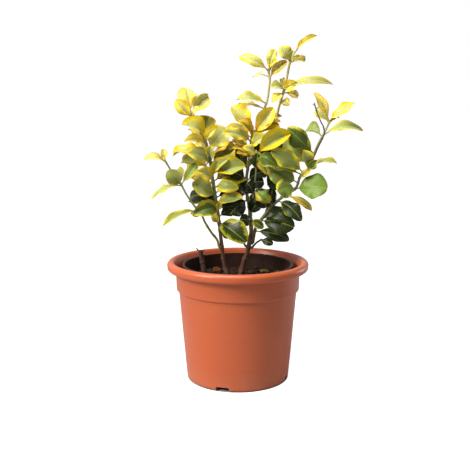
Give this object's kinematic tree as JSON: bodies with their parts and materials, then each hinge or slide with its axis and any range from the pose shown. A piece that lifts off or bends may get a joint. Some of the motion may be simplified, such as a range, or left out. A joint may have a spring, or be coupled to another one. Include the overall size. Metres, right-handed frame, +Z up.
{
  "type": "potted euonymus",
  "caption": "Evergreen shrub with yellow-edged leaves on thin woody stems, in a grower's pot set inside a round terracotta-coloured plastic pot with a rolled rim.",
  "frame": {"origin": "middle of the underside of the outer pot, on the surface that it stands on", "axes": "+Z up along the pot's axis, -Y towards the plant's front, +X to the right seen from the front"},
  "size_m": [0.2794, 0.19, 0.4558],
  "materials": {
    "terracotta_plastic": "moulded, satin, terracotta coloured",
    "black_plastic": "thin thermoformed, dull black",
    "potting_mix": "crumbly peat and bark",
    "bark": "rough chips",
    "old_wood": "fissured grey-brown bark",
    "green_stem": "smooth green young bark",
    "old_leaf": "glossy, green with a yellow margin",
    "young_leaf": "glossy, mostly yellow"
  },
  "bodies": {
    "root": {"bark_chip_1": "bark", "bark_chip_2": "bark", "bark_chip_3": "bark", "centre_stem": "old_wood", "centre_tip": "young_leaf", "dead_twig": "old_wood", "grower_pot": "black_plastic", "inner_shoot": "green_stem", "inner_tip": "young_leaf", "leaf_01": "old_leaf", "leaf_02": "old_leaf", "leaf_03": "old_leaf", "leaf_04": "old_leaf", "leaf_05": "old_leaf", "leaf_06": "old_leaf", "leaf_07": "old_leaf", "leaf_08": "old_leaf", "leaf_09": "old_leaf", "leaf_10": "old_leaf", "leaf_11": "old_leaf", "leaf_12": "old_leaf", "leaf_13": "old_leaf", "leaf_14": "old_leaf", "leaf_15": "old_leaf", "leaf_16": "old_leaf", "leaf_17": "old_leaf", "leaf_18": "old_leaf", "leaf_19": "old_leaf", "leaf_20": "old_leaf", "leaf_21": "old_leaf", "leaf_22": "old_leaf", "leaf_23": "old_leaf", "leaf_24": "old_leaf", "leaf_25": "old_leaf", "leaf_26": "old_leaf", "leaf_27": "old_leaf", "leaf_28": "old_leaf", "leaf_29": "old_leaf", "left_shoot_tip": "young_leaf", "left_side_shoot": "green_stem", "left_side_tip": "young_leaf", "left_stem": "old_wood", "low_right_twig": "old_wood", "outer_pot": "terracotta_plastic", "potting_mix": "potting_mix", "pruned_stub": "old_wood", "rear_left_shoot": "green_stem", "rear_left_tip": "young_leaf", "rear_right_shoot": "green_stem", "rear_right_tip": "young_leaf", "rear_shoot": "green_stem", "rear_tip": "young_leaf", "right_shoot_tip": "young_leaf", "right_stem": "green_stem", "short_left_twig": "old_wood", "tall_left_shoot": "green_stem", "tall_left_tip": "young_leaf", "tall_right_shoot": "green_stem", "tall_right_tip": "young_leaf"}
  },
  "joints": []
}
